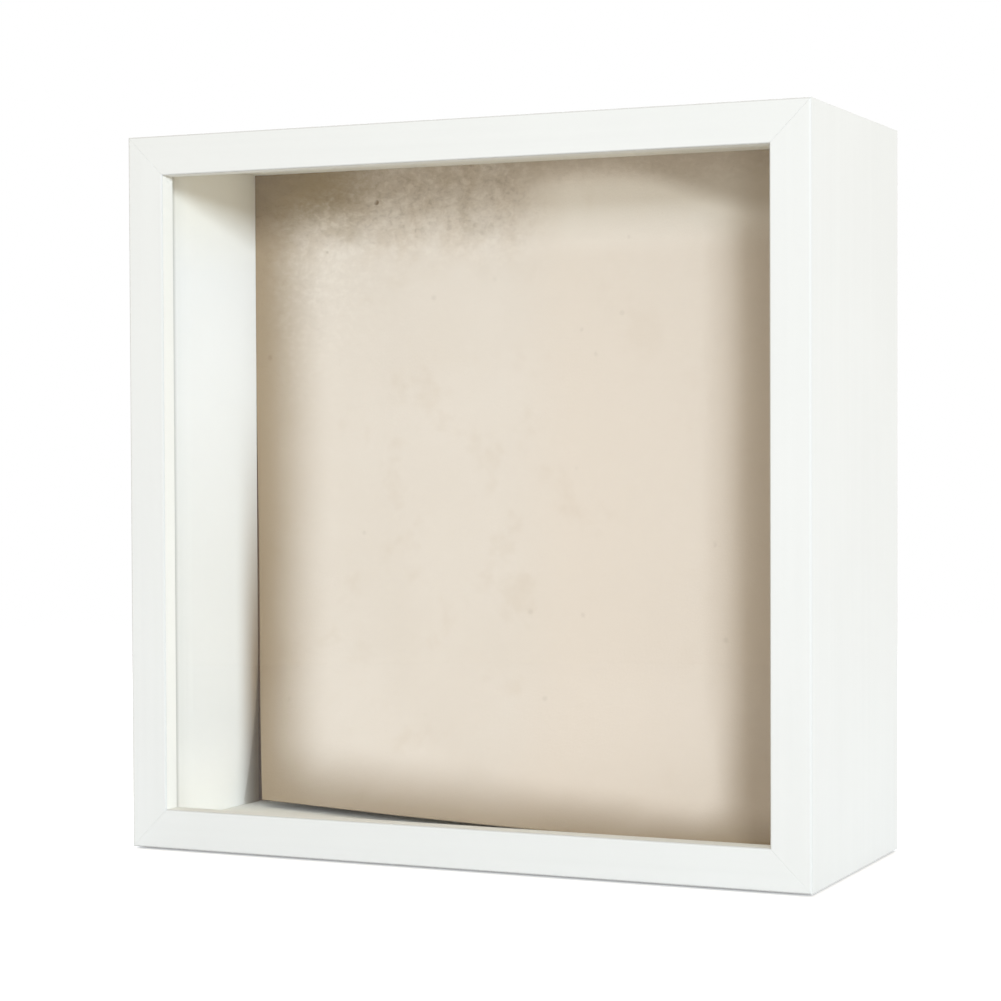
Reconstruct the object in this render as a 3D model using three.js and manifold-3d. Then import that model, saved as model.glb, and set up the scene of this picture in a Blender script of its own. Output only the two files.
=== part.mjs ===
// Shadow box picture frame: a deep square box of mitred white mouldings with a glazed front.
// Behind the glass, white liner strips wall a display space that a beige backdrop closes.
// The backdrop, its board and the back panel are one removable back. Riveted turn clips lock it:
// turned out, their tips enter a kerf that runs round the inside of the mouldings.
// Millimetres. +Z is up and the front looks along -Y. The origin is on the base, under the middle.

import * as THREE from "three";
import { mergeVertices } from "three/addons/utils/BufferGeometryUtils.js";
import Module from "manifold-3d";

const wasm = await Module();
wasm.setup();

// Outer box
const FRAME_WIDTH = 127;
const FRAME_HEIGHT = 127;
const FRAME_DEPTH = 50.8;

// Moulding section: a face lip in front of a thin deep wall
const LIP_WIDTH = 7;
const LIP_THICKNESS = 3.6;
const WALL_THICKNESS = 2.4;
const FRONT_EDGE_RADIUS = 0.35;
const LIP_EDGE_RADIUS = 0.3;
const REAR_EDGE_RADIUS = 0.4;

// Glass and liner strips
const GLASS_THICKNESS = 2;
const GLASS_CLEARANCE = 0.4;
const LINER_THICKNESS = 0.8;
const LINER_CLEARANCE = 0.15;

// Removable back: backdrop sheet, board and hardboard panel
const SHEET_THICKNESS = 0.4;
const BOARD_THICKNESS = 2;
const PANEL_THICKNESS = 2.5;
const BACK_CLEARANCE = 0.4;
const REAR_RECESS = 5.3;

// Turn clips: teardrop steel plates that pivot on a rivet near each side of the panel
const CLIP_THICKNESS = 0.8;
const CLIP_PIVOT_RADIUS = 4.6;
const CLIP_TIP_RADIUS = 3;
const CLIP_INSET = 14;
const CLIP_SPACING = 60;
const CLIP_BITE = 1;
const CLIP_PLAY = 0.15;
const KERF_CLEARANCE = 0.3;

// Clip rivets
const RIVET_RADIUS = 1.5;
const RIVET_HEAD_RADIUS = 3.1;
const RIVET_HEAD_HEIGHT = 1.1;
const RIVET_TAIL_RADIUS = 2.5;
const RIVET_TAIL_THICKNESS = 0.7;
const RIVET_CLEARANCE = 0.2;

// Saw-tooth hanger: a bent steel strip with a notched lower edge
const HANGER_LENGTH = 44;
const HANGER_HEIGHT = 9;
const HANGER_THICKNESS = 0.8;
const HANGER_STANDOFF = 2.2;
const HANGER_BRIDGE = 26;
const HANGER_RAMP = 2.4;
const HANGER_BEND_RADIUS = 0.6;
const HANGER_DROP = 13;
const TOOTH_COUNT = 9;
const TOOTH_PITCH = 2.6;
const TOOTH_DEPTH = 1.6;

// Hanger rivets
const HANGER_RIVET_RADIUS = 1.2;
const HANGER_RIVET_HEAD_RADIUS = 2.3;
const HANGER_RIVET_HEAD_HEIGHT = 0.9;
const HANGER_RIVET_TAIL_RADIUS = 2;

// Facets of round edges, holes and turned pieces
const FILLET_STEPS = 5;
const ROUND_STEPS = 32;
const DOME_STEPS = 6;
const WELD_DISTANCE = 1e-4;

// Layers, as distances behind the front face
const glassFront = LIP_THICKNESS;
const glassBack = glassFront + GLASS_THICKNESS;
const panelBack = FRAME_DEPTH - REAR_RECESS;
const panelFront = panelBack - PANEL_THICKNESS;
const boardFront = panelFront - BOARD_THICKNESS;
const sheetFront = boardFront - SHEET_THICKNESS;
const clipFront = panelBack + CLIP_PLAY;
const clipBack = clipFront + CLIP_THICKNESS;
const kerfFront = clipFront - KERF_CLEARANCE;
const kerfBack = clipBack + KERF_CLEARANCE;

// Sizes that follow from the fits
const kerfDepth = CLIP_BITE + KERF_CLEARANCE;
const backInset = WALL_THICKNESS + BACK_CLEARANCE;
const backWidth = FRAME_WIDTH - 2 * backInset;
const backHeight = FRAME_HEIGHT - 2 * backInset;
const glassInset = WALL_THICKNESS + GLASS_CLEARANCE;
const linerOuter = WALL_THICKNESS + LINER_CLEARANCE;
const linerInner = linerOuter + LINER_THICKNESS;
const clipReach = CLIP_INSET + BACK_CLEARANCE + CLIP_BITE;
const middleHeight = FRAME_HEIGHT / 2;

// Distance behind the front face as a Y coordinate
const depthAt = (distance) => distance - FRAME_DEPTH / 2;

// Materials
const finish = (color, roughness, metalness = 0) =>
  new THREE.MeshStandardMaterial({ color, roughness, metalness });
const whiteLacquer = finish(0xf2f2ef, 0.42);
const whiteCard = finish(0xf1f0ea, 0.7);
const beigePaper = finish(0xe2d7c6, 0.85);
const greyBoard = finish(0xb9ac97, 0.9);
const hardboard = finish(0x8a5f3c, 0.8);
const platedSteel = finish(0xc9c9c4, 0.35, 0.9);
const brassPlate = finish(0xc8a860, 0.35, 0.9);
const clearGlass = new THREE.MeshStandardMaterial({
  color: 0xeef4f2,
  roughness: 0.05,
  transparent: true,
  opacity: 0.15,
});

const piece = (name, geometry, material) => {
  const mesh = new THREE.Mesh(geometry, material);
  mesh.name = name;
  return mesh;
};

// A closed geometry as a solid for joining and cutting
function solidOf(geometry) {
  const bare = geometry.clone();
  bare.deleteAttribute("normal");
  bare.deleteAttribute("uv");
  const merged = mergeVertices(bare, WELD_DISTANCE);
  return new wasm.Manifold(
    new wasm.Mesh({
      numProp: 3,
      vertProperties: merged.attributes.position.array,
      triVerts: new Uint32Array(merged.index.array),
    }),
  );
}

function geometryOf(solid) {
  const mesh = solid.getMesh();
  const geometry = new THREE.BufferGeometry();
  geometry.setAttribute("position", new THREE.BufferAttribute(mesh.vertProperties, 3));
  geometry.setIndex(new THREE.BufferAttribute(mesh.triVerts, 1));
  geometry.computeVertexNormals();
  return geometry;
}

// A flat plate from an outline in X and Z. Its front lies at y = 0 and its back at y = thickness.
function plate(outline, thickness) {
  const geometry = new THREE.ExtrudeGeometry(outline, {
    depth: thickness,
    bevelEnabled: false,
    curveSegments: ROUND_STEPS,
  });
  geometry.rotateX(Math.PI / 2);
  geometry.translate(0, thickness, 0);
  return geometry;
}

// A round pin along Y, between two depths, for cutting holes
function pin(radius, from, to) {
  const geometry = new THREE.CylinderGeometry(radius, radius, to - from, ROUND_STEPS);
  geometry.translate(0, (from + to) / 2, 0);
  return geometry;
}

// A straight bar with mitred ends, for the bottom of the box. The section is drawn in inward distance
// from the outer face and distance behind the front face, and each end recedes with the inward distance.
function mitredBar(section, outerLength) {
  const geometry = new THREE.ExtrudeGeometry(section, {
    depth: outerLength,
    bevelEnabled: false,
    curveSegments: FILLET_STEPS,
  });
  const points = geometry.getAttribute("position");
  for (let i = 0; i < points.count; i++) {
    const inward = points.getX(i);
    const end = points.getZ(i) > 0 ? 1 : -1;
    points.setXYZ(i, -end * (outerLength / 2 - inward), points.getY(i), inward);
  }
  geometry.translate(0, -FRAME_DEPTH / 2, 0);
  return geometry;
}

// The four bars of one section, turned about the middle of the box
function barsAround(prefix, section, material) {
  const ring = new THREE.Group();
  ring.position.z = middleHeight;
  ["bottom", "left", "top", "right"].forEach((side, quarter) => {
    const upright = quarter % 2 === 1;
    const length = upright ? FRAME_HEIGHT : FRAME_WIDTH;
    const reach = upright ? FRAME_WIDTH / 2 : FRAME_HEIGHT / 2;
    const turned = new THREE.Group();
    turned.rotation.y = (quarter * Math.PI) / 2;
    const bar = piece(`${prefix}_${side}`, mitredBar(section, length), material);
    bar.position.z = -reach;
    turned.add(bar);
    ring.add(turned);
  });
  return ring;
}

// Moulding section, with eased outer edges and the kerf for the clip tips
function railSection() {
  const section = new THREE.Shape();
  const quarter = Math.PI / 2;
  const corner = (inward, behind, radius, from) =>
    section.absarc(inward, behind, radius, from, from + quarter, false);
  corner(FRONT_EDGE_RADIUS, FRONT_EDGE_RADIUS, FRONT_EDGE_RADIUS, 2 * quarter);
  corner(LIP_WIDTH - LIP_EDGE_RADIUS, LIP_EDGE_RADIUS, LIP_EDGE_RADIUS, 3 * quarter);
  section.lineTo(LIP_WIDTH, LIP_THICKNESS);
  section.lineTo(WALL_THICKNESS, LIP_THICKNESS);
  section.lineTo(WALL_THICKNESS, kerfFront);
  section.lineTo(WALL_THICKNESS - kerfDepth, kerfFront);
  section.lineTo(WALL_THICKNESS - kerfDepth, kerfBack);
  section.lineTo(WALL_THICKNESS, kerfBack);
  corner(WALL_THICKNESS - REAR_EDGE_RADIUS, FRAME_DEPTH - REAR_EDGE_RADIUS, REAR_EDGE_RADIUS, 0);
  corner(REAR_EDGE_RADIUS, FRAME_DEPTH - REAR_EDGE_RADIUS, REAR_EDGE_RADIUS, quarter);
  section.closePath();
  return section;
}

// Liner section: a thin strip between the glass and the backdrop
function linerSection() {
  const section = new THREE.Shape();
  section.moveTo(linerOuter, glassBack);
  section.lineTo(linerInner, glassBack);
  section.lineTo(linerInner, sheetFront);
  section.lineTo(linerOuter, sheetFront);
  section.closePath();
  return section;
}

function glassPane() {
  const width = FRAME_WIDTH - 2 * glassInset;
  const height = FRAME_HEIGHT - 2 * glassInset;
  const pane = piece(
    "glass_pane",
    new THREE.BoxGeometry(width, GLASS_THICKNESS, height),
    clearGlass,
  );
  pane.position.set(0, depthAt((glassFront + glassBack) / 2), middleHeight);
  return pane;
}

// A plain layer of the removable back, between two distances behind the front face
function backLayer(name, front, back, material) {
  const layer = piece(name, new THREE.BoxGeometry(backWidth, back - front, backHeight), material);
  layer.position.set(0, depthAt((front + back) / 2), middleHeight);
  return layer;
}

// Places on the panel, in X and Z
const clipPlaces = [
  ["upper", 1],
  ["lower", -1],
].flatMap(([row, up]) =>
  [
    ["left", -1],
    ["right", 1],
  ].map(([side, across]) => ({
    name: `${row}_${side}`,
    x: across * (backWidth / 2 - CLIP_INSET),
    z: middleHeight + (up * CLIP_SPACING) / 2,
  })),
);
const hangerHeight = middleHeight + backHeight / 2 - HANGER_DROP;
const hangerFoot = (HANGER_LENGTH - HANGER_BRIDGE) / 2 - HANGER_RAMP;
const hangerRivetPlaces = [
  ["left", -1],
  ["right", 1],
].map(([side, across]) => ({
  name: side,
  x: (across * (HANGER_LENGTH - hangerFoot)) / 2,
  z: hangerHeight,
}));

// Hardboard panel, bored for its rivets and sunk at the front for their tails
function backPanel() {
  let panel = solidOf(new THREE.BoxGeometry(backWidth, PANEL_THICKNESS, backHeight)).translate([
    0,
    depthAt((panelFront + panelBack) / 2),
    middleHeight,
  ]);
  const bore = (place, radius, tailRadius) => {
    const hole = pin(radius + RIVET_CLEARANCE, panelFront - PANEL_THICKNESS, FRAME_DEPTH);
    const sunk = RIVET_TAIL_THICKNESS + RIVET_CLEARANCE;
    const seat = pin(tailRadius + RIVET_CLEARANCE, panelFront - sunk, panelFront + sunk);
    for (const cut of [hole, seat])
      panel = panel.subtract(solidOf(cut).translate([place.x, depthAt(0), place.z]));
  };
  clipPlaces.forEach((place) => bore(place, RIVET_RADIUS, RIVET_TAIL_RADIUS));
  hangerRivetPlaces.forEach((place) => bore(place, HANGER_RIVET_RADIUS, HANGER_RIVET_TAIL_RADIUS));
  return piece("back_panel", geometryOf(panel), hardboard);
}

// A domed rivet along Y: its tail is set in the panel's front and its head bears on a plate behind
function rivet(name, place, radius, headRadius, headHeight, tailRadius, headFront) {
  const tailFront = panelFront + RIVET_CLEARANCE / 2;
  const tailBack = tailFront + RIVET_TAIL_THICKNESS;
  const profile = [
    [0, tailFront],
    [tailRadius, tailFront],
    [tailRadius, tailBack],
    [radius, tailBack],
    [radius, headFront],
  ].map(([r, y]) => new THREE.Vector2(r, y));
  for (let step = 0; step < DOME_STEPS; step++) {
    const angle = (step / DOME_STEPS) * (Math.PI / 2);
    profile.push(
      new THREE.Vector2(headRadius * Math.cos(angle), headFront + headHeight * Math.sin(angle)),
    );
  }
  profile.push(new THREE.Vector2(0, headFront + headHeight));
  const mesh = piece(name, new THREE.LatheGeometry(profile, ROUND_STEPS), platedSteel);
  mesh.position.set(place.x, depthAt(0), place.z);
  return mesh;
}

// Teardrop clip about its pivot, hanging straight down
function clipGeometry() {
  const tipDrop = clipReach - CLIP_TIP_RADIUS;
  const lean = Math.asin((CLIP_PIVOT_RADIUS - CLIP_TIP_RADIUS) / tipDrop);
  const outline = new THREE.Shape();
  outline.absarc(0, 0, CLIP_PIVOT_RADIUS, -lean, Math.PI + lean, false);
  outline.absarc(0, -tipDrop, CLIP_TIP_RADIUS, Math.PI + lean, 2 * Math.PI - lean, false);
  outline.closePath();
  const eye = new THREE.Path();
  eye.absarc(0, 0, RIVET_RADIUS + RIVET_CLEARANCE, 0, 2 * Math.PI, true);
  outline.holes.push(eye);
  return plate(outline, CLIP_THICKNESS);
}

function turnClip(place) {
  const clip = piece(`turn_clip_${place.name}`, clipGeometry(), platedSteel);
  clip.position.set(place.x, depthAt(clipFront), place.z);
  return clip;
}

// The hanger seen from the side: two feet, two ramps and a raised bridge, with round bends
function hangerBend() {
  const half = HANGER_LENGTH / 2;
  const up = Math.PI / 2;
  const bend = Math.atan2(HANGER_STANDOFF, HANGER_RAMP);
  const inner = HANGER_BEND_RADIUS;
  const outer = inner + HANGER_THICKNESS;
  const top = HANGER_BRIDGE / 2 - inner * Math.tan(bend / 2);
  const knee = HANGER_BRIDGE / 2 + HANGER_RAMP + outer * Math.tan(bend / 2);
  const topCentre = HANGER_STANDOFF - inner;
  const side = new THREE.Shape();
  side.moveTo(-half, 0);
  side.absarc(-knee, outer, outer, -up, -up + bend, false);
  side.absarc(-top, topCentre, inner, up + bend, up, true);
  side.absarc(top, topCentre, inner, up, up - bend, true);
  side.absarc(knee, outer, outer, -up - bend, -up, false);
  side.lineTo(half, 0);
  side.lineTo(half, HANGER_THICKNESS);
  side.absarc(knee, outer, inner, -up, -up - bend, true);
  side.absarc(top, topCentre, outer, up - bend, up, false);
  side.absarc(-top, topCentre, outer, up, up + bend, false);
  side.absarc(-knee, outer, inner, -up + bend, -up, true);
  side.lineTo(-half, HANGER_THICKNESS);
  side.closePath();
  const geometry = new THREE.ExtrudeGeometry(side, {
    depth: HANGER_HEIGHT,
    bevelEnabled: false,
    curveSegments: FILLET_STEPS,
  });
  geometry.translate(0, 0, -HANGER_HEIGHT / 2);
  return geometry;
}

// The hanger seen from behind: round ends, a row of notches along the lower edge and two rivet holes
function hangerOutline() {
  const end = HANGER_HEIGHT / 2;
  const centre = HANGER_LENGTH / 2 - end;
  const outline = new THREE.Shape();
  outline.absarc(-centre, 0, end, Math.PI / 2, (3 * Math.PI) / 2, false);
  const first = (-TOOTH_COUNT * TOOTH_PITCH) / 2;
  for (let tooth = 0; tooth < TOOTH_COUNT; tooth++) {
    const start = first + tooth * TOOTH_PITCH;
    outline.lineTo(start, -end);
    outline.lineTo(start + TOOTH_PITCH / 2, -end + TOOTH_DEPTH);
  }
  outline.lineTo(-first, -end);
  outline.absarc(centre, 0, end, -Math.PI / 2, Math.PI / 2, false);
  outline.closePath();
  for (const place of hangerRivetPlaces) {
    const hole = new THREE.Path();
    hole.absarc(place.x, 0, HANGER_RIVET_RADIUS + RIVET_CLEARANCE, 0, 2 * Math.PI, true);
    outline.holes.push(hole);
  }
  return outline;
}

function sawtoothHanger() {
  const deep = HANGER_STANDOFF + 2 * HANGER_THICKNESS;
  const silhouette = solidOf(plate(hangerOutline(), deep)).translate([0, -HANGER_THICKNESS / 2, 0]);
  const strip = solidOf(hangerBend()).intersect(silhouette);
  const hanger = piece("sawtooth_hanger", geometryOf(strip), brassPlate);
  hanger.position.set(0, depthAt(panelBack), hangerHeight);
  return hanger;
}

// Assembly
const shadowBox = new THREE.Group();
shadowBox.add(
  barsAround("rail", railSection(), whiteLacquer),
  barsAround("liner", linerSection(), whiteCard),
  glassPane(),
);

const removableBack = new THREE.Group();
removableBack.add(
  backLayer("backdrop_sheet", sheetFront, boardFront, beigePaper),
  backLayer("display_board", boardFront, panelFront, greyBoard),
  backPanel(),
  sawtoothHanger(),
);
for (const place of clipPlaces) {
  removableBack.add(
    turnClip(place),
    rivet(
      `clip_rivet_${place.name}`,
      place,
      RIVET_RADIUS,
      RIVET_HEAD_RADIUS,
      RIVET_HEAD_HEIGHT,
      RIVET_TAIL_RADIUS,
      clipBack + CLIP_PLAY,
    ),
  );
}
for (const place of hangerRivetPlaces) {
  removableBack.add(
    rivet(
      `hanger_rivet_${place.name}`,
      place,
      HANGER_RIVET_RADIUS,
      HANGER_RIVET_HEAD_RADIUS,
      HANGER_RIVET_HEAD_HEIGHT,
      HANGER_RIVET_TAIL_RADIUS,
      panelBack + HANGER_THICKNESS,
    ),
  );
}
shadowBox.add(removableBack);

export default shadowBox;
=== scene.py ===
"""Looks of the shadow box frame: finishes, eased edges, a hand-cut backdrop, studio and camera.

Metres throughout. +Z is up and the front looks along -Y.
"""

import math

import bmesh
import bpy
from mathutils import Matrix, Vector


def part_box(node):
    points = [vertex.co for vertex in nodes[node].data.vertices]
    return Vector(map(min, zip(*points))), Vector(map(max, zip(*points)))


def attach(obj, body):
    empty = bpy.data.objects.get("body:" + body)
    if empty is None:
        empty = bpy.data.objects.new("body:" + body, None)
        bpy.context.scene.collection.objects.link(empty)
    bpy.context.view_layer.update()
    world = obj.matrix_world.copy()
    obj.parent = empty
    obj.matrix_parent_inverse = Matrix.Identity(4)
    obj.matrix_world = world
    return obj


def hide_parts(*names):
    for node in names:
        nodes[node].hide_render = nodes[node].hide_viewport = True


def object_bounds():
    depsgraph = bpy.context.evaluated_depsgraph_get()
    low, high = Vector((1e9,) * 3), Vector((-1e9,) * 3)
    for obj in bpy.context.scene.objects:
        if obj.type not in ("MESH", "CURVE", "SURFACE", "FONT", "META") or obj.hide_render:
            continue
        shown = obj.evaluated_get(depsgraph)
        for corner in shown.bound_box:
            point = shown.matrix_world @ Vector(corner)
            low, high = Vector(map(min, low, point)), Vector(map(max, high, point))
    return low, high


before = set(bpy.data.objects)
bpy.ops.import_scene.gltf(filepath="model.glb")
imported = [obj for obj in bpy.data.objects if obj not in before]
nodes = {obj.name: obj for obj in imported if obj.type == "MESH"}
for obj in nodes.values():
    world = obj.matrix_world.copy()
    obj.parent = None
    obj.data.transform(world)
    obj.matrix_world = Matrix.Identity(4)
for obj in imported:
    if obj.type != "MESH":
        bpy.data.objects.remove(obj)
cad_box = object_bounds()
box_low, box_high = cad_box

MM = 0.001
BOX_CENTRE = (box_low + box_high) / 2
SIDES = ("bottom", "left", "top", "right")
CLIPS = ("upper_left", "upper_right", "lower_left", "lower_right")

# Camera, solved from the corners of the box in the photograph
PHOTO_WIDTH = 1001
FOCAL_LENGTH_PIXELS = 2582.4
SENSOR_WIDTH = 36.0
CAMERA_PLACE = Vector((187.24, -419.95, 73.10)) * MM
CAMERA_YAW = math.radians(24.282)
CAMERA_PITCH = math.radians(1.383)
CAMERA_ROLL = math.radians(-0.223)

# Widths of the eased edges
RAIL_EASE = 0.05 * MM
CARD_EASE = 0.12 * MM
GLASS_EASE = 0.25 * MM
SHEET_EASE = 0.06 * MM
BOARD_EASE = 0.2 * MM
PANEL_EASE = 0.25 * MM
CLIP_EASE = 0.18 * MM
RIVET_EASE = 0.12 * MM
HANGER_EASE = 0.12 * MM
EASE_SEGMENTS = 2
SHARP_ANGLE = math.radians(30)
FLAT_ANGLE = math.radians(1)
WELD_DISTANCE = 0.001 * MM

# How the faces of a rail are told apart: the kerf by its room about a clip, the rounded front edges
# by how far they look forward, and the sight edge by looking straight across
KERF_ROOM = 0.36 * MM
ROUNDING_LEAST = 0.05
ROUNDING_MOST = 0.97
STRAIGHT_ACROSS = 0.99

# Backdrop sheet: how far out of square it is cut, how it waves, and how its corner and foot lift
SHEET_SKEW_SIDE = 1.4 * MM
SHEET_TRIM_SIDE = 0.8 * MM
SHEET_TRIM_FOOT = 1.25 * MM
SHEET_SKEW_FOOT = 0.75 * MM
SHEET_SKEW_SHARES = (0.35, 0.75)
SHEET_WAVE = 0.25 * MM
SHEET_WAVE_LENGTH = 36 * MM
SHEET_WAVE_FIRST = (0.7, 1.0)
SHEET_WAVE_SECOND = (0.6, -0.5)
SHEET_HELD_SHARE = 0.15
SHEET_LIFT = 0.8 * MM
SHEET_LIFT_REACH = 55 * MM
SHEET_CURL = 19 * MM
SHEET_CURL_SHARE = 0.56
SHEET_CURL_CORNER = 0.38
SHEET_CURL_HEIGHT = 28 * MM
SHEET_DRAW_IN = 0.6
SHEET_DRAW_IN_SHARE = 0.5
SHEET_CELLS = 72

# Colours, as linear reflectances
PAINT_LIGHT = (0.752, 0.762, 0.746, 1)
PAINT_SHADE = (0.732, 0.742, 0.726, 1)
# Painted shade: darker paint on the rounded front edges that tones down their highlight
PAINT_EDGE_SHADE = (0.640, 0.648, 0.634, 1)
# Painted light: paler cream paint that brightens the lip's sight edge
PAINT_SIGHT_LIT = (0.828, 0.832, 0.786, 1)
CARD_LIGHT = (0.862, 0.876, 0.868, 1)
CARD_SHADE = (0.838, 0.852, 0.843, 1)
# Painted shade: the card darker in its lower half
CARD_LOW_SHADE = (0.772, 0.780, 0.752, 1)
# Painted warm tint of light bounced from the paper, at the card's head and foot
CARD_WARM_BOUNCE = (0.874, 0.857, 0.772, 1)
# Painted shade: the left wall darker towards its lower rear corner
CARD_CORNER_SHADE = (0.230, 0.155, 0.080, 1)
# Painted shade: a line on the left wall just behind the glass, where the lip shades it
CARD_LIP_SHADE = (0.100, 0.095, 0.080, 1)
GLASS_COLOUR = (0.985, 0.995, 0.99, 1)
PAPER_LIGHT = (0.814, 0.735, 0.653, 1)
PAPER_SHADE = (0.792, 0.710, 0.624, 1)
PAPER_WARM = (0.812, 0.718, 0.624, 1)
# Painted light that lightens the top lip's shadow on the paper's right; also the pale flecks of its grain
PAPER_LIT_AND_FLECK = (0.965, 0.898, 0.812, 1)
PAPER_STAIN = (0.560, 0.430, 0.290, 1)
PAPER_MOULD = (0.310, 0.222, 0.100, 1)
PAPER_SPECK = (0.200, 0.130, 0.070, 1)
# Brown of the paper's edges: partly age, partly painted shade deepening the lips' shadows
PAPER_EDGE_AGE_AND_SHADE = (0.308, 0.226, 0.136, 1)
BOARD_LIGHT = (0.19, 0.105, 0.055, 1)
BOARD_SHADE = (0.10, 0.052, 0.026, 1)
HARDBOARD_LIGHT = (0.33, 0.185, 0.095, 1)
HARDBOARD_SHADE = (0.20, 0.105, 0.052, 1)
HARDBOARD_FLECK = (0.46, 0.31, 0.18, 1)
FIBRE_LIGHT = (0.52, 0.39, 0.26, 1)
FIBRE_SHADE = (0.38, 0.27, 0.17, 1)
STEEL_LIGHT = (0.72, 0.725, 0.72, 1)
STEEL_SHADE = (0.63, 0.635, 0.635, 1)
BRASS_LIGHT = (0.83, 0.62, 0.30, 1)
BRASS_SHADE = (0.72, 0.51, 0.22, 1)
FLOOR_COLOUR = (0.7, 0.7, 0.7, 1)
FLOOR_SEEN = (0.95, 0.95, 0.95, 1)
WHITE = (1, 1, 1, 1)

# Values of a noise between which one tone of a finish turns into the other
MOTTLE = (0.3, 0.7)

# How strongly the paint mirrors
LACQUER_SPECULAR = 0.35

# Where the card changes: by height above the base, or in from its front or rear edge
CARD_FOOT = (6 * MM, 22 * MM)
CARD_MIDDLE = (42 * MM, 98 * MM)
CARD_HEAD = (101 * MM, 122 * MM)
# Painted shade at the left wall's lower rear corner: up to which height, and how far in from the rear
# edge
CARD_CORNER_SHADE_TOP = (24 * MM, 84 * MM)
CARD_CORNER_SHADE_DEPTH = 9 * MM
# Painted shade behind the lip: where its line starts, thins, fades and ends, in from the card's front
# edge
CARD_LIP_SHADE_START = 4.6 * MM
CARD_LIP_SHADE_THIN = 5.9 * MM
CARD_LIP_SHADE_FADE = 7 * MM
CARD_LIP_SHADE_END = 10 * MM
CARD_LEFT_SLACK = 1 * MM

# Where the paper changes: across from the middle of the box, or in from one of its edges
PAPER_MIDDLE = (-9 * MM, 7 * MM)
PAPER_WANDER = 0.5 * MM
PAPER_EDGE_RISE = 0.8
# Band below the paper's top edge on the right that gets painted light
PAPER_LIT_IN = (1.5 * MM, 7 * MM)
PAPER_LIT_OUT = (9 * MM, 19 * MM)
PAPER_STAINS_END = (6 * MM, 25 * MM)
PAPER_TOP_GRAIN = (2 * MM, 11 * MM)
PAPER_SLANT = (-114 * MM, -58 * MM)
PAPER_BLOTS_THIN = (-5 * MM, 35 * MM)
PAPER_TOP_EDGE = (2.5 * MM, 11 * MM)
PAPER_TOP_LEFT = (-50 * MM, -28 * MM)
PAPER_TOP_RIGHT = (12 * MM, 44 * MM)
PAPER_CORNER_DROP = 8 * MM
PAPER_CORNER_FADE = 5 * MM
PAPER_LEFT_EDGE = (0.5 * MM, 17.5 * MM)
# Painted shade: a slight darkening of the paper's left part
PAPER_LEFT_SHADE = (12 * MM, 40 * MM)
PAPER_RIGHT_EDGE = (1 * MM, 16 * MM)
# Painted shade: a band in from the right edge, deepening the right lip's shadow
PAPER_RIGHT_SHADE_BAND = (17.5 * MM, 26.5 * MM)
PAPER_FOOT_SPAN = (-45 * MM, 38 * MM)
PAPER_FOOT_START = -0.5 * MM
PAPER_FOOT_LEFT = 12.5 * MM
PAPER_FOOT_RIGHT = 6.5 * MM
PAPER_CORNER_PATCH_RISE = (-60 * MM, -47 * MM)
PAPER_CORNER_PATCH_FALL = (-45 * MM, -32 * MM)
PAPER_CORNER_PATCH_DEPTH = (5 * MM, 13 * MM)

# Pitch of the mesh pressed into the hardboard, and the arc that a clip rubs on it: shares of the
# clip's reach, and how far the arc runs past the upright and the level
MESH_PITCH = 1.4 * MM
ARC_INNER = (0.55, 0.9)
ARC_OUTER = (0.97, 1.01)
ARC_UPRIGHT = (-1 * MM, 2 * MM)
ARC_LEVEL = (-2 * MM, 1 * MM)

# Tints of the studio light
KEY_TINT = (0.895, 1.0, 1.125)
REAR_TINT = (0.84, 1.0, 1.20)
ROOM_TINT = (1.095, 1.0, 0.862, 1)
ROOM_STRENGTH = 0.69

# Floor, as a disc about the object, a hair below its base
FLOOR_RADIUS = 0.6
FLOOR_SEGMENTS = 96
FLOOR_FADE_START = 0.12
FLOOR_GLOW = 0.3
FLOOR_DROP = 0.35 * MM


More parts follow.
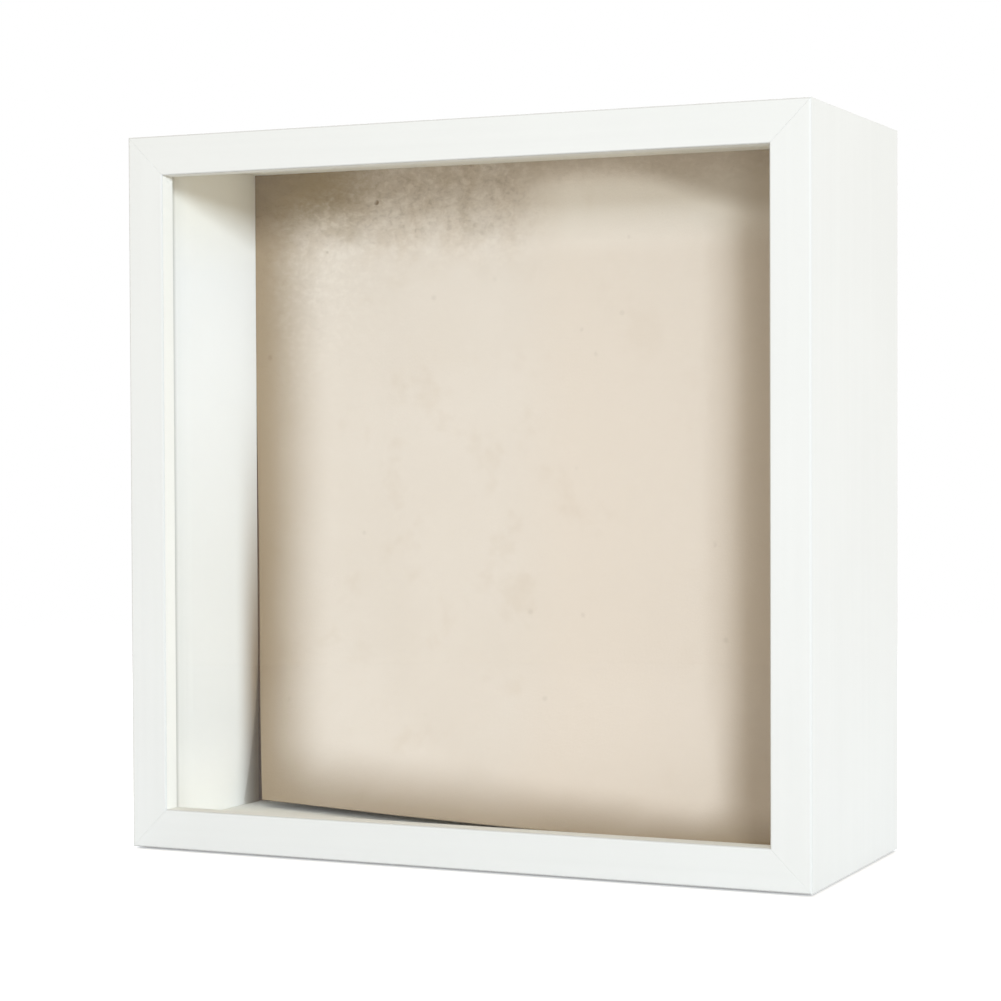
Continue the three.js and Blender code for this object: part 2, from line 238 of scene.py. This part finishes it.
class Finish:
    """A material under construction, with short calls for the nodes that the finishes share."""

    def __init__(self, name):
        self.material = bpy.data.materials.new(name)
        self.material.use_nodes = True
        self.tree = self.material.node_tree
        self.shader = self.tree.nodes["Principled BSDF"]

    def feed(self, socket, value):
        if isinstance(value, bpy.types.NodeSocket):
            self.tree.links.new(value, socket)
        else:
            socket.default_value = value

    def node(self, kind, inputs, **settings):
        made = self.tree.nodes.new("ShaderNode" + kind)
        for key, value in settings.items():
            setattr(made, key, value)
        for key, value in inputs.items():
            self.feed(made.inputs[key], value)
        return made

    def surface(self, **values):
        for key, value in values.items():
            self.feed(self.shader.inputs[key.replace("_", " ")], value)

    def place(self, stretch=(1, 1, 1), turn=(0, 0, 0)):
        """Place on the piece, in metres, drawn out along an axis where stretch is below one."""
        here = self.node("TexCoord", {}).outputs["Object"]
        mapping = {"Vector": here, "Scale": stretch, "Rotation": turn}
        return self.node("Mapping", mapping).outputs["Vector"]

    def axes(self, vector):
        return self.node("SeparateXYZ", {"Vector": vector}).outputs

    def noise(self, vector, size, detail=2.0, roughness=0.5, twist=0.0):
        inputs = {
            "Vector": vector,
            "Scale": 1 / size,
            "Detail": detail,
            "Roughness": roughness,
            "Distortion": twist,
        }
        return self.node("TexNoise", inputs).outputs["Fac"]

    def cells(self, vector, size):
        return self.node("TexVoronoi", {"Vector": vector, "Scale": 1 / size}).outputs["Distance"]

    def spread(self, value, low, high, to_low=0.0, to_high=1.0):
        """A soft step between two values of the input."""
        inputs = {
            "Value": value,
            "From Min": low,
            "From Max": high,
            "To Min": to_low,
            "To Max": to_high,
        }
        return self.node("MapRange", inputs, interpolation_type="SMOOTHSTEP").outputs["Result"]

    def fall(self, value, low, high, start=1.0):
        """A soft step down to nothing."""
        return self.spread(value, low, high, start, 0.0)

    def maths(self, operation, *values):
        made = self.node("Math", {}, operation=operation)
        for socket, value in zip(made.inputs, values):
            self.feed(socket, value)
        return made.outputs["Value"]

    def product(self, *values):
        result = values[0]
        for value in values[1:]:
            result = self.maths("MULTIPLY", result, value)
        return result

    def blend(self, first, share, second):
        """The sum of two values, with the given share of the first."""
        return self.maths("MULTIPLY_ADD", first, share, self.maths("MULTIPLY", second, 1 - share))

    def mix(self, factor, first, second):
        made = self.node("Mix", {"Factor": factor}, data_type="RGBA")
        self.feed(made.inputs[6], first)
        self.feed(made.inputs[7], second)
        return made.outputs[2]

    def bump(self, height, depth, normal=None):
        inputs = {"Height": height, "Distance": depth}
        if normal is not None:
            inputs["Normal"] = normal
        return self.node("Bump", inputs).outputs["Normal"]


def white_lacquer(name, stretch):
    """Satin white paint: faint clouds, streaks along the rail, orange peel and fine dust."""
    paint = Finish(name)
    here = paint.place()
    clouds = paint.noise(here, size=35 * MM, detail=3)
    streaks = paint.noise(paint.place(stretch), size=1.6 * MM, detail=3)
    peel = paint.noise(here, size=1.1 * MM)
    dust = paint.noise(here, size=0.18 * MM)
    shade = paint.blend(streaks, 0.45, clouds)
    colour = paint.mix(paint.spread(shade, *MOTTLE), PAINT_SHADE, PAINT_LIGHT)
    polish = paint.noise(here, size=6 * MM, detail=3)
    rough = paint.spread(polish, *MOTTLE, to_low=0.5, to_high=0.54)
    relief = paint.bump(dust, depth=0.002 * MM)
    relief = paint.bump(peel, depth=0.012 * MM, normal=relief)
    relief = paint.bump(streaks, depth=0.006 * MM, normal=relief)
    paint.surface(
        Base_Color=colour,
        Roughness=rough,
        Specular_IOR_Level=LACQUER_SPECULAR,
        Normal=relief,
    )
    return paint.material


def plain_lacquer(name, colour):
    """Paint on the narrow faces of the lip, where no grain shows: darker on the rounded front edges as
    painted shade, paler on the sight edge as painted light.
    """
    paint = Finish(name)
    paint.surface(Base_Color=colour, Roughness=0.6, Specular_IOR_Level=LACQUER_SPECULAR)
    return paint.material


def raw_fibreboard():
    """Bare fibreboard inside the kerf."""
    raw = Finish("raw_fibreboard")
    fuzz = raw.noise(raw.place(), size=0.35 * MM, detail=4, roughness=0.65)
    colour = raw.mix(raw.spread(fuzz, *MOTTLE), FIBRE_SHADE, FIBRE_LIGHT)
    raw.surface(Base_Color=colour, Roughness=0.9, Normal=raw.bump(fuzz, depth=0.08 * MM))
    return raw.material


def white_card():
    """Matt white card with short fibres, with painted shade darkening its lower half and a painted warm
    tint of light bounced from the paper at its head and foot.

    The left wall has painted shade darkening towards its lower rear corner, and a line of painted shade
    just behind the glass where the lip shades it.
    """
    low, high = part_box("liner_left")
    card = Finish("white_card")
    here = card.place()
    clouds = card.noise(here, size=18 * MM, detail=3)
    fibres = card.noise(card.place((1, 0.3, 1)), size=0.4 * MM, detail=4, roughness=0.6)
    tone = card.blend(fibres, 0.4, clouds)
    colour = card.mix(card.spread(tone, *MOTTLE), CARD_SHADE, CARD_LIGHT)
    x, y, z = card.axes(here)
    # Painted shade: darker in the card's lower half
    low_shade = card.product(card.spread(z, *CARD_FOOT), card.fall(z, *CARD_MIDDLE))
    colour = card.mix(low_shade, colour, CARD_LOW_SHADE)
    # Painted warm tint of light bounced from the paper, at the head and foot
    warm_bounce = card.maths("ADD", card.spread(z, *CARD_HEAD), card.fall(z, *CARD_FOOT, start=0.6))
    colour = card.mix(warm_bounce, colour, CARD_WARM_BOUNCE)

    on_left = card.fall(x, low.x + CARD_LEFT_SLACK, high.x + CARD_LEFT_SLACK)
    # Painted shade on the left wall, darkening towards its lower rear corner
    corner_shade = card.product(
        on_left,
        card.spread(y, high.y - CARD_CORNER_SHADE_DEPTH, high.y, to_high=0.95),
        card.fall(z, *CARD_CORNER_SHADE_TOP),
    )
    colour = card.mix(corner_shade, colour, CARD_CORNER_SHADE)
    # A line of painted shade on the left wall just behind the glass, where the lip shades it
    dust = card.product(
        on_left,
        card.spread(y, low.y + CARD_LIP_SHADE_START, low.y + CARD_LIP_SHADE_THIN, to_low=0.4, to_high=0.04),
        card.fall(y, low.y + CARD_LIP_SHADE_FADE, low.y + CARD_LIP_SHADE_END),
    )
    colour = card.mix(dust, colour, CARD_LIP_SHADE)
    card.surface(Base_Color=colour, Roughness=0.72, Normal=card.bump(fibres, depth=0.01 * MM))
    return card.material


def clear_glass():
    """Clear float glass with a trace of waviness."""
    glass = Finish("clear_glass")
    wave = glass.noise(glass.place(), size=25 * MM, detail=1)
    glass.surface(
        Base_Color=GLASS_COLOUR,
        Roughness=0.0,
        IOR=1.46,
        Transmission_Weight=1.0,
        Normal=glass.bump(wave, depth=0.004 * MM),
    )
    return glass.material


def backdrop_paper():
    """Parchment-like paper: brown along its edges, partly with age and partly with painted shade, stained
    and grained towards the upper left, and with painted light below its top edge on the right.
    """
    low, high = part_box("backdrop_sheet")
    paper = Finish("backdrop_paper")
    here = paper.place()
    x, _, z = paper.axes(here)
    drift = paper.noise(here, size=30 * MM)
    wander = paper.spread(drift, 0.25, 0.75, to_low=-PAPER_WANDER, to_high=PAPER_WANDER)

    def inset(start, end):
        """How far in from an edge a place lies, with the edge wandering a little."""
        return paper.maths("ADD", paper.maths("SUBTRACT", end, start), wander)

    drawn_in = SHEET_DRAW_IN * SHEET_CURL * SHEET_CURL_CORNER
    edge_top = low.z + PAPER_EDGE_RISE * SHEET_CURL_HEIGHT
    edge = paper.spread(z, low.z, edge_top, to_low=low.x + drawn_in, to_high=low.x)
    from_left = inset(edge, x)
    from_right = inset(x, high.x)
    from_top = inset(z, high.z)
    from_foot = inset(low.z + SHEET_TRIM_FOOT, z)
    rightward = paper.spread(x, *PAPER_MIDDLE)
    leftward = paper.maths("SUBTRACT", 1.0, rightward)

    # Cloudy ground, warmer on the right, with painted light below its top edge there that lightens the
    # shadow of the top lip
    clouds = paper.noise(here, size=24 * MM, detail=4, roughness=0.55)
    colour = paper.mix(paper.spread(clouds, *MOTTLE), PAPER_SHADE, PAPER_LIGHT)
    colour = paper.mix(rightward, colour, PAPER_WARM)
    painted_light = paper.product(
        rightward,
        paper.spread(from_top, *PAPER_LIT_IN),
        paper.fall(from_top, *PAPER_LIT_OUT),
    )
    colour = paper.mix(painted_light, colour, PAPER_LIT_AND_FLECK)

    # Stains at the upper left, and faint blots that thin out to the right
    upper = paper.fall(from_top, *PAPER_STAINS_END)
    top_grain = paper.fall(from_top, *PAPER_TOP_GRAIN, start=0.55)
    stained = paper.product(upper, leftward)
    slant = paper.maths("SUBTRACT", from_left, z)
    slanting = paper.spread(slant, *PAPER_SLANT, to_low=0.8, to_high=0.1)
    grained = paper.maths("MAXIMUM", stained, paper.maths("MAXIMUM", slanting, top_grain))
    patches = paper.spread(paper.noise(here, size=8 * MM, detail=4, roughness=0.6), 0.4, 0.66)
    colour = paper.mix(paper.product(patches, stained, 0.36), colour, PAPER_STAIN)
    spots = paper.noise(here, size=13 * MM, detail=4, roughness=0.65)
    blots = paper.product(
        paper.spread(spots, 0.54, 0.7, to_high=0.14),
        paper.spread(x, *PAPER_BLOTS_THIN, to_low=1.0, to_high=0.25),
    )
    colour = paper.mix(blots, colour, PAPER_STAIN)

    # Brown edges, partly aged paper and partly painted shade deepening the lips' shadows; the band in
    # from the right edge and the darker left part are painted shade only.
    # The top one is different on the left and on the right
    left_tone = paper.spread(x, *PAPER_TOP_LEFT, to_low=0.03, to_high=0.53)
    top_left = paper.spread(from_top, *PAPER_TOP_EDGE, to_low=left_tone)
    drop = paper.spread(x, *PAPER_TOP_RIGHT, to_high=PAPER_CORNER_DROP)
    corner = paper.maths("SUBTRACT", from_top, drop)
    top_right = paper.spread(corner, 0.0, PAPER_CORNER_FADE, to_low=0.45)
    step = paper.maths("SUBTRACT", top_right, top_left)
    top = paper.maths("MULTIPLY_ADD", step, rightward, top_left)
    foot_reach = paper.spread(
        x, *PAPER_FOOT_SPAN, to_low=PAPER_FOOT_LEFT, to_high=PAPER_FOOT_RIGHT
    )
    off_edges = paper.product(
        top,
        paper.spread(from_left, *PAPER_LEFT_EDGE),
        paper.spread(from_left, *PAPER_LEFT_SHADE, to_low=0.84),
        paper.spread(from_right, *PAPER_RIGHT_SHADE_BAND, to_low=0.46),
        paper.spread(from_right, *PAPER_RIGHT_EDGE, to_low=0.3),
        paper.spread(from_foot, PAPER_FOOT_START, foot_reach, to_low=0.12),
    )
    colour = paper.mix(off_edges, PAPER_EDGE_AGE_AND_SHADE, colour)

    # Mould, and a darker brown patch near the upper left corner
    growth = paper.noise(here, size=11 * MM, detail=3, roughness=0.55)
    mould = paper.spread(growth, 0.5, 0.7, to_high=0.35)
    colour = paper.mix(paper.product(mould, upper, leftward), colour, PAPER_MOULD)
    corner_patch = paper.product(
        paper.spread(x, *PAPER_CORNER_PATCH_RISE),
        paper.fall(x, *PAPER_CORNER_PATCH_FALL),
        paper.fall(from_top, *PAPER_CORNER_PATCH_DEPTH, start=0.55),
    )
    colour = paper.mix(corner_patch, colour, PAPER_MOULD)

    # Grain with dark veins and pale flecks, and a few dark specks
    crackle = paper.noise(
        paper.place((0.7, 1, 1)), size=1.05 * MM, detail=4, roughness=0.66, twist=0.35
    )
    veins = paper.spread(crackle, 0.5, 0.7, to_high=0.3)
    colour = paper.mix(paper.product(veins, grained, grained), colour, PAPER_SPECK)
    flecks = paper.fall(crackle, 0.36, 0.5, start=0.34)
    colour = paper.mix(paper.product(flecks, grained, off_edges), colour, PAPER_LIT_AND_FLECK)
    specks = paper.fall(paper.cells(here, size=6.5 * MM), 0.06, 0.095, start=0.95)
    chosen = paper.spread(paper.noise(here, size=9 * MM), 0.48, 0.54)
    colour = paper.mix(paper.product(specks, chosen, grained), colour, PAPER_SPECK)

    relief = paper.bump(paper.product(crackle, grained), depth=0.18 * MM)
    tooth = paper.noise(here, size=0.5 * MM, detail=3)
    relief = paper.bump(tooth, depth=0.03 * MM, normal=relief)
    paper.surface(Base_Color=colour, Roughness=0.82, Normal=relief)
    return paper.material


def brown_board():
    """Dark brown board: layered along its edge, flecked on its faces."""
    board = Finish("brown_board")
    here = board.place()
    layers = board.noise(board.place((0.05, 6, 0.05)), size=1.6 * MM)
    flecks = board.noise(here, size=0.6 * MM, detail=5, roughness=0.7)
    tone = board.blend(layers, 0.5, flecks)
    colour = board.mix(board.spread(tone, 0.35, 0.65), BOARD_SHADE, BOARD_LIGHT)
    board.surface(Base_Color=colour, Roughness=0.88, Normal=board.bump(flecks, depth=0.05 * MM))
    return board.material


def clip_arcs(board, here):
    """How much of the hardboard is rubbed away in a quarter ring below and outside each clip's pivot."""
    x, _, z = board.axes(here)
    clip_low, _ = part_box("turn_clip_lower_right")
    rivet_low, rivet_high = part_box("clip_rivet_lower_right")
    pivot = (rivet_low + rivet_high) / 2
    pair_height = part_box("turn_clip_upper_right")[0].z - clip_low.z
    reach = pivot.z - clip_low.z
    outward = board.maths("SUBTRACT", board.maths("ABSOLUTE", x), pivot.x)
    upward = board.maths("SUBTRACT", z, pivot.z)
    upward = board.maths("WRAP", upward, -pair_height / 2, pair_height / 2)
    rise = board.maths("MULTIPLY", upward, upward)
    radius = board.maths("SQRT", board.maths("MULTIPLY_ADD", outward, outward, rise))
    streaked = board.noise(here, size=2.5 * MM, detail=3)
    return board.product(
        board.spread(radius, *(share * reach for share in ARC_INNER)),
        board.fall(radius, *(share * reach for share in ARC_OUTER)),
        board.spread(outward, *ARC_UPRIGHT),
        board.fall(upward, *ARC_LEVEL),
        board.spread(streaked, 0.35, 0.65, to_low=0.15, to_high=0.6),
    )


def hardboard():
    """Brown hardboard: matted fibres, pale shives, the mesh pressed into its back with painted shade in
    its pits, and the clips' arcs.
    """
    board = Finish("hardboard")
    here = board.place()
    clouds = board.noise(here, size=14 * MM, detail=4, roughness=0.6)
    layers = [
        board.noise(board.place((0.25, 1, 1), (0, lean, 0)), size=0.5 * MM, detail=4, roughness=0.65)
        for lean in (0.6, -0.8)
    ]
    fibres = board.maths("MAXIMUM", *layers)
    tone = board.blend(fibres, 0.6, clouds)
    colour = board.mix(board.spread(tone, 0.38, 0.68), HARDBOARD_SHADE, HARDBOARD_LIGHT)
    shives = board.spread(fibres, 0.66, 0.74)
    colour = board.mix(board.maths("MULTIPLY", shives, 0.7), colour, HARDBOARD_FLECK)

    x, _, z = board.axes(here)
    turn = 2 * math.pi / MESH_PITCH
    weave = board.product(
        board.maths("SINE", board.maths("MULTIPLY", x, turn)),
        board.maths("SINE", board.maths("MULTIPLY", z, turn)),
    )
    # Painted shade in the pits of the pressed mesh
    pit_shade = board.spread(weave, 0.2, 1.0, to_high=0.45)
    colour = board.mix(pit_shade, colour, HARDBOARD_SHADE)
    colour = board.mix(clip_arcs(board, here), colour, HARDBOARD_FLECK)

    relief = board.bump(fibres, depth=0.06 * MM)
    relief = board.bump(weave, depth=0.07 * MM, normal=relief)
    rough = board.spread(clouds, *MOTTLE, to_low=0.58, to_high=0.76)
    board.surface(Base_Color=colour, Roughness=rough, Normal=relief)
    return board.material


def plated_metal(name, light, shade, stretch):
    """Plated sheet metal: cloudy plating, drawn scratches and dull patches."""
    metal = Finish(name)
    here = metal.place()
    clouds = metal.noise(here, size=5 * MM, detail=4, roughness=0.6)
    scratches = metal.noise(metal.place(stretch), size=0.12 * MM, detail=3, roughness=0.7)
    colour = metal.mix(metal.spread(clouds, *MOTTLE), shade, light)
    wear = metal.blend(scratches, 0.4, clouds)
    rough = metal.spread(wear, *MOTTLE, to_low=0.2, to_high=0.36)
    relief = metal.bump(metal.noise(here, size=5 * MM), depth=0.08 * MM)
    relief = metal.bump(scratches, depth=0.004 * MM, normal=relief)
    metal.surface(Base_Color=colour, Metallic=1.0, Roughness=rough, Normal=relief)
    return metal.material


def studio_floor():
    """Pale seamless floor that fades into the white background away from the object."""
    floor = Finish("studio_floor")
    here = floor.place()
    grain = floor.noise(here, size=4 * MM)
    away = floor.node("VectorMath", {"Vector": here}, operation="LENGTH").outputs["Value"]
    seen = floor.node("LightPath", {}).outputs["Is Camera Ray"]
    floor.surface(
        Base_Color=floor.mix(seen, FLOOR_COLOUR, FLOOR_SEEN),
        Roughness=0.7,
        Emission_Color=WHITE,
        Emission_Strength=floor.maths("MULTIPLY", seen, FLOOR_GLOW),
        Alpha=floor.fall(away, FLOOR_FADE_START, FLOOR_RADIUS),
        Normal=floor.bump(grain, depth=0.02 * MM),
    )
    return floor.material


def ease_edges(piece, width, clamped=True):
    """Rounds the sharp edges of a piece and smooths its shading."""
    rounded = piece.modifiers.new("ease", "BEVEL")
    rounded.width = width
    rounded.segments = EASE_SEGMENTS
    rounded.limit_method = "ANGLE"
    rounded.angle_limit = SHARP_ANGLE
    rounded.use_clamp_overlap = clamped
    piece.modifiers.new("normals", "WEIGHTED_NORMAL")


def dress(name, material, ease, clamped=True):
    """Gives a solid its finish, joins its flat facets and eases its edges."""
    node = nodes[name]
    mesh = node.data
    mesh.materials.clear()
    mesh.materials.append(material)
    if "custom_normal" in mesh.attributes:
        mesh.attributes.remove(mesh.attributes["custom_normal"])
    mesh.shade_smooth()
    weld = node.modifiers.new("weld", "WELD")
    weld.merge_threshold = WELD_DISTANCE
    planar = node.modifiers.new("planar", "DECIMATE")
    planar.decimate_type = "DISSOLVE"
    planar.angle_limit = FLAT_ANGLE
    planar.delimit = {"MATERIAL"}
    ease_edges(node, ease, clamped)
    return node


def paint_rail_faces(rail, raw, edge_shade, sight_lit):
    """Leaves the kerf for the clip tips bare, gives the rounded front edges darker paint as painted shade
    that tones down their highlight, and gives the sight edge, which looks into the opening, paler cream
    paint as painted light that brightens it."""
    clip_low, clip_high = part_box("turn_clip_upper_left")
    glass_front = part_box("glass_pane")[0].y
    for material in (raw, edge_shade, sight_lit):
        rail.data.materials.append(material)
    for face in rail.data.polygons:
        inward = BOX_CENTRE - face.center
        across_rail = max(abs(face.normal.x), abs(face.normal.z)) > STRAIGHT_ACROSS
        if clip_low.y - KERF_ROOM < face.center.y < clip_high.y + KERF_ROOM:
            face.material_index = 1
        # Rounded front edges: darker paint, a painted shade that tones down their highlight
        elif ROUNDING_LEAST < -face.normal.y < ROUNDING_MOST:
            face.material_index = 2
        # Sight edge: paler cream paint, a painted light that brightens it
        elif across_rail and face.center.y < glass_front and face.normal.dot(inward) > 0:
            face.material_index = 3


def dress_box():
    along = {
        "level": white_lacquer("white_lacquer_level", (0.02, 1, 1)),
        "upright": white_lacquer("white_lacquer_upright", (1, 1, 0.02)),
    }
    raw = raw_fibreboard()
    edge_shade = plain_lacquer("edge_shade_lacquer", PAINT_EDGE_SHADE)
    sight_lit = plain_lacquer("sight_lit_lacquer", PAINT_SIGHT_LIT)
    card = white_card()
    for side in SIDES:
        run = "level" if side in ("bottom", "top") else "upright"
        paint_rail_faces(dress(f"rail_{side}", along[run], RAIL_EASE), raw, edge_shade, sight_lit)
        dress(f"liner_{side}", card, CARD_EASE)
    pane = dress("glass_pane", clear_glass(), GLASS_EASE)
    pane.visible_shadow = False
    pane.visible_diffuse = False


def dress_back():
    """Dresses what slides out at the rear. The hanger's close facets would clamp its eased edges to
    nothing, so they aren't clamped."""
    dress("display_board", brown_board(), BOARD_EASE)
    dress("back_panel", hardboard(), PANEL_EASE)
    steel = plated_metal("plated_steel", STEEL_LIGHT, STEEL_SHADE, (1, 1, 0.05))
    brass = plated_metal("brass_plate", BRASS_LIGHT, BRASS_SHADE, (0.05, 1, 1))
    dress("sawtooth_hanger", brass, HANGER_EASE, clamped=False)
    for side in ("left", "right"):
        dress(f"hanger_rivet_{side}", steel, RIVET_EASE)
    for place in CLIPS:
        dress(f"turn_clip_{place}", steel, CLIP_EASE)
        dress(f"clip_rivet_{place}", steel, RIVET_EASE)


def soft_step(value, low, high):
    share = min(max((value - low) / (high - low), 0.0), 1.0)
    return share * share * (3 - 2 * share)


def sheet_point(across, up):
    """A point on the front of the backdrop, for shares of its width and height."""
    low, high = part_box("backdrop_sheet")
    left = low.x + SHEET_SKEW_SIDE * (1 - up)
    right = high.x - SHEET_TRIM_SIDE * (1 - up)
    skewed = 1 - soft_step(across, *SHEET_SKEW_SHARES)
    foot = low.z + SHEET_TRIM_FOOT + SHEET_SKEW_FOOT * skewed
    x = left + (right - left) * across
    z = foot + (high.z - foot) * up

    held = soft_step(min(across, 1 - across, up, 1 - up), 0.0, SHEET_HELD_SHARE)
    turn = 2 * math.pi / SHEET_WAVE_LENGTH
    first = SHEET_WAVE_FIRST[0] * x + SHEET_WAVE_FIRST[1] * z
    second = SHEET_WAVE_SECOND[0] * x + SHEET_WAVE_SECOND[1] * z
    wave = 0.5 + 0.5 * math.sin(turn * first) * math.sin(turn * second)
    corner_distance = math.hypot(x - low.x, z - low.z)
    lift = soft_step(SHEET_LIFT_REACH - corner_distance, 0.0, SHEET_LIFT_REACH)

    bend = max(1 - (z - foot) / SHEET_CURL_HEIGHT, 0.0)
    swept = math.sin(math.pi / 2 * min(across / SHEET_CURL_SHARE, 1.0))
    curl = SHEET_CURL * (SHEET_CURL_CORNER + (1 - SHEET_CURL_CORNER) * swept) * bend * bend
    drawn_in = SHEET_DRAW_IN * curl * (1 - soft_step(across, 0.0, SHEET_DRAW_IN_SHARE))
    forward = SHEET_WAVE * held * wave + SHEET_LIFT * lift + curl
    return (x + drawn_in, low.y - forward, z)


def make_sheet():
    """The backdrop as a hand-cut sheet: out of square, a little wavy, free of the board at its lower
    left corner and curling forward along its foot towards the right."""
    low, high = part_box("backdrop_sheet")
    grid = bmesh.new()
    bmesh.ops.create_grid(grid, x_segments=SHEET_CELLS, y_segments=SHEET_CELLS, size=0.5)
    for vertex in grid.verts:
        vertex.co = sheet_point(vertex.co.x + 0.5, vertex.co.y + 0.5)
    mesh = bpy.data.meshes.new("backdrop_paper")
    grid.to_mesh(mesh)
    grid.free()
    mesh.shade_smooth()
    mesh.materials.append(backdrop_paper())
    sheet = bpy.data.objects.new("backdrop_paper", mesh)
    bpy.context.scene.collection.objects.link(sheet)
    thick = sheet.modifiers.new("thickness", "SOLIDIFY")
    thick.thickness = high.y - low.y
    thick.offset = -1
    ease_edges(sheet, SHEET_EASE)
    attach(sheet, "back")
    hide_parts("backdrop_sheet")


def make_floor():
    outline = bmesh.new()
    bmesh.ops.create_circle(outline, cap_ends=True, segments=FLOOR_SEGMENTS, radius=FLOOR_RADIUS)
    mesh = bpy.data.meshes.new("studio_floor")
    outline.to_mesh(mesh)
    outline.free()
    mesh.materials.append(studio_floor())
    floor = bpy.data.objects.new("studio_floor", mesh)
    floor.location.z = box_low.z - FLOOR_DROP
    bpy.context.scene.collection.objects.link(floor)


def make_camera():
    forward = Vector(
        (
            -math.sin(CAMERA_YAW) * math.cos(CAMERA_PITCH),
            math.cos(CAMERA_YAW) * math.cos(CAMERA_PITCH),
            -math.sin(CAMERA_PITCH),
        )
    )
    level = Vector((math.cos(CAMERA_YAW), math.sin(CAMERA_YAW), 0))
    right = math.cos(CAMERA_ROLL) * level + math.sin(CAMERA_ROLL) * level.cross(forward)
    data = bpy.data.cameras.new("camera")
    data.sensor_width = SENSOR_WIDTH
    data.lens = FOCAL_LENGTH_PIXELS / PHOTO_WIDTH * SENSOR_WIDTH
    camera = bpy.data.objects.new("camera", data)
    turn = Matrix((right, right.cross(forward), -forward)).transposed()
    camera.matrix_world = Matrix.Translation(CAMERA_PLACE) @ turn.to_4x4()
    bpy.context.scene.collection.objects.link(camera)
    bpy.context.scene.camera = camera


def softbox(name, azimuth, elevation, distance, size, power, tint):
    """A square light that faces the box. Azimuth 0 is in front of it and 90 to its right."""
    across, up = math.radians(azimuth), math.radians(elevation)
    away = Vector(
        (math.sin(across) * math.cos(up), -math.cos(across) * math.cos(up), math.sin(up))
    )
    data = bpy.data.lights.new(name, "AREA")
    data.size = size
    data.energy = power
    data.color = tint
    light = bpy.data.objects.new(name, data)
    light.location = BOX_CENTRE + away * distance
    light.rotation_euler = away.to_track_quat("Z", "Y").to_euler()
    bpy.context.scene.collection.objects.link(light)


def make_light():
    softbox(
        "key", azimuth=30, elevation=12, distance=1.2, size=0.19, power=6.0, tint=KEY_TINT
    )
    softbox(
        "side", azimuth=67, elevation=5.5, distance=2.0, size=0.15, power=13.3, tint=KEY_TINT
    )
    softbox(
        "rear", azimuth=200, elevation=28, distance=1.3, size=0.5, power=4.8, tint=REAR_TINT
    )
    softbox(
        "rear_side", azimuth=252, elevation=24, distance=1.3, size=0.6, power=3.8, tint=REAR_TINT
    )


def make_world():
    """Soft, even studio surroundings, with a white background behind the object."""
    world = bpy.data.worlds.new("studio")
    world.use_nodes = True
    bpy.context.scene.world = world
    tree = world.node_tree
    surround = tree.nodes["Background"]
    surround.inputs["Color"].default_value = ROOM_TINT
    surround.inputs["Strength"].default_value = ROOM_STRENGTH
    backdrop = tree.nodes.new("ShaderNodeBackground")
    backdrop.inputs["Color"].default_value = WHITE
    backdrop.inputs["Strength"].default_value = 1.0
    chooser = tree.nodes.new("ShaderNodeMixShader")
    rays = tree.nodes.new("ShaderNodeLightPath")
    tree.links.new(rays.outputs["Is Camera Ray"], chooser.inputs["Fac"])
    tree.links.new(surround.outputs["Background"], chooser.inputs[1])
    tree.links.new(backdrop.outputs["Background"], chooser.inputs[2])
    tree.links.new(chooser.outputs["Shader"], tree.nodes["World Output"].inputs["Surface"])


make_camera()
dress_box()
dress_back()
make_sheet()
make_floor()
make_light()
make_world()
bpy.context.scene.view_settings.view_transform = "Standard"
